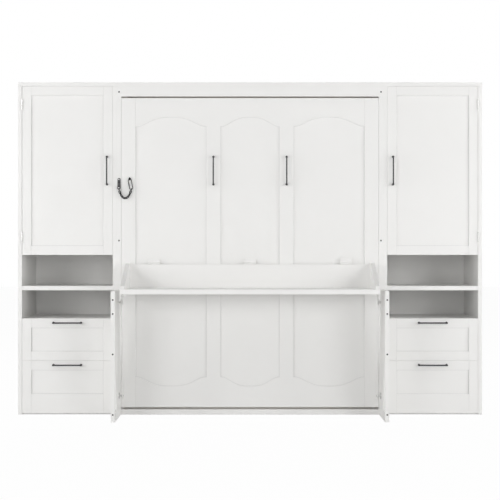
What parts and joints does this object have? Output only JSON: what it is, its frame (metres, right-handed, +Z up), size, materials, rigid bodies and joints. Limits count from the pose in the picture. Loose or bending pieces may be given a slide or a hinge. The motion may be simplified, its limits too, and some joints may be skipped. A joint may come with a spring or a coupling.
{
  "type": "wall bed with fold down desk",
  "caption": "White cabinet bed that folds down from a bay between two storage towers, with a desk on its face that stays level as the bed opens.",
  "frame": {"origin": "on the floor, in the middle of the bounding box's underside", "axes": "+X to the right as seen from the front, +Y back towards the wall (the front faces -Y), +Z up"},
  "size_m": [3.016, 1, 2.16],
  "materials": {
    "painted_board": "satin white paint on fibreboard",
    "black_pull": "matte black",
    "black_hardware": "satin black",
    "zinc_steel": "zinc plated",
    "white_hinge": "satin white",
    "bolt_cap": "dark zinc",
    "slat_wood": "bare wood",
    "drawer_melamine": "white laminate",
    "strut_black": "gloss black",
    "strut_chrome": "polished"
  },
  "bodies": {
    "root": {"bed_bay_side_left": "painted_board", "bed_bay_side_right": "painted_board", "bed_bay_top": "painted_board", "bay_rails": "painted_board", "wall_rails": "painted_board", "tower_sides": "painted_board", "tower_tops": "painted_board", "cupboard_floors": "painted_board", "niche_shelves": "painted_board", "drawer_decks": "painted_board", "tower_bases": "painted_board", "tower_backs": "painted_board", "cupboard_shelves": "painted_board", "door_hinges": "zinc_steel", "drawer_runners": "zinc_steel", "leg_panels": "painted_board", "leg_front_strips": "painted_board", "bolt_caps": "bolt_cap", "safety_anchor": "zinc_steel", "fixed_pivot_studs": "zinc_steel"},
    "left_door": {"left_door": "painted_board", "left_door_handle": "black_pull", "left_door_hinge_leaves": "zinc_steel"},
    "right_door": {"right_door": "painted_board", "right_door_handle": "black_pull", "right_door_hinge_leaves": "zinc_steel"},
    "upper_left_drawer": {"upper_left_drawer_front": "painted_board", "upper_left_drawer_box": "drawer_melamine", "upper_left_drawer_handle": "black_pull"},
    "upper_right_drawer": {"upper_right_drawer_front": "painted_board", "upper_right_drawer_box": "drawer_melamine", "upper_right_drawer_handle": "black_pull"},
    "lower_left_drawer": {"lower_left_drawer_front": "painted_board", "lower_left_drawer_box": "drawer_melamine", "lower_left_drawer_handle": "black_pull"},
    "lower_right_drawer": {"lower_right_drawer_front": "painted_board", "lower_right_drawer_box": "drawer_melamine", "lower_right_drawer_handle": "black_pull"},
    "bed": {"bed_face": "painted_board", "bed_side_rails": "painted_board", "bed_end_rails": "painted_board", "bed_centre_rail": "painted_board", "bed_slats": "slat_wood", "bed_handles": "black_pull", "bed_pivot_pins": "zinc_steel", "desk_hinges": "white_hinge", "safety_eye": "black_hardware", "safety_chain": "black_hardware", "snap_hook": "black_hardware"},
    "desk": {"desktop": "painted_board", "desk_back_board": "painted_board", "desk_end_panels": "painted_board", "desk_pivot_plates": "zinc_steel", "desk_hinge_leaves": "white_hinge"},
    "left_desk_link": {"left_desk_link": "zinc_steel"},
    "right_desk_link": {"right_desk_link": "zinc_steel"},
    "left_strut_tube": {"left_strut_tube": "strut_black"},
    "left_strut_rod": {"left_strut_rod": "strut_chrome"},
    "right_strut_tube": {"right_strut_tube": "strut_black"},
    "right_strut_rod": {"right_strut_rod": "strut_chrome"}
  },
  "joints": [
    {"name": "bed_fold", "type": "hinge", "parent": "root", "child": "bed", "pos_m": [0, 0, 0.38], "axis": [1, 0, 0], "range_deg": [0, 90], "stiffness_Nm_per_rad": 100, "springref_deg": -114.59},
    {"name": "desk_level", "type": "hinge", "parent": "bed", "child": "desk", "pos_m": [0, -0.11, 0.983], "axis": [1, 0, 0], "range_deg": [-90, 0]},
    {"name": "left_link_swing", "type": "hinge", "parent": "root", "child": "left_desk_link", "pos_m": [-0.815, -0.23, 0.137], "axis": [1, 0, 0], "range_deg": [0, 90]},
    {"name": "left_strut_swing", "type": "hinge", "parent": "root", "child": "left_strut_tube", "pos_m": [-0.8145, 0.16, 0.9], "axis": [1, 0, 0], "range_deg": [0, 12.34]},
    {"name": "left_strut_stroke", "type": "slide", "parent": "left_strut_tube", "child": "left_strut_rod", "axis": [0, 0.2323, 0.9727], "range_m": [0, 0.16884]},
    {"name": "right_link_swing", "type": "hinge", "parent": "root", "child": "right_desk_link", "pos_m": [0.815, -0.23, 0.137], "axis": [1, 0, 0], "range_deg": [0, 90]},
    {"name": "right_strut_swing", "type": "hinge", "parent": "root", "child": "right_strut_tube", "pos_m": [0.8145, 0.16, 0.9], "axis": [1, 0, 0], "range_deg": [0, 12.34]},
    {"name": "right_strut_stroke", "type": "slide", "parent": "right_strut_tube", "child": "right_strut_rod", "axis": [0, 0.2323, 0.9727], "range_m": [0, 0.16884]},
    {"name": "left_door_swing", "type": "hinge", "parent": "root", "child": "left_door", "pos_m": [-1.482, -0.1045, 1.5855], "axis": [0, 0, -1], "range_deg": [0, 110]},
    {"name": "right_door_swing", "type": "hinge", "parent": "root", "child": "right_door", "pos_m": [1.482, -0.1045, 1.5855], "axis": [0, 0, 1], "range_deg": [0, 110]},
    {"name": "upper_left_drawer_slide", "type": "slide", "parent": "root", "child": "upper_left_drawer", "axis": [0, -1, 0], "range_m": [0, 0.4]},
    {"name": "upper_right_drawer_slide", "type": "slide", "parent": "root", "child": "upper_right_drawer", "axis": [0, -1, 0], "range_m": [0, 0.4]},
    {"name": "lower_left_drawer_slide", "type": "slide", "parent": "root", "child": "lower_left_drawer", "axis": [0, -1, 0], "range_m": [0, 0.4]},
    {"name": "lower_right_drawer_slide", "type": "slide", "parent": "root", "child": "lower_right_drawer", "axis": [0, -1, 0], "range_m": [0, 0.4]}
  ],
  "couplings": [
    {"joint": "desk_level", "follows": "bed_fold", "ratio": -1},
    {"joint": "left_link_swing", "follows": "bed_fold", "ratio": 1},
    {"joint": "left_strut_swing", "follows": "bed_fold", "ratio": 0.13699},
    {"joint": "left_strut_stroke", "follows": "bed_fold", "m_per_rad": 0.10743},
    {"joint": "right_link_swing", "follows": "bed_fold", "ratio": 1},
    {"joint": "right_strut_swing", "follows": "bed_fold", "ratio": 0.13699},
    {"joint": "right_strut_stroke", "follows": "bed_fold", "m_per_rad": 0.10743}
  ]
}
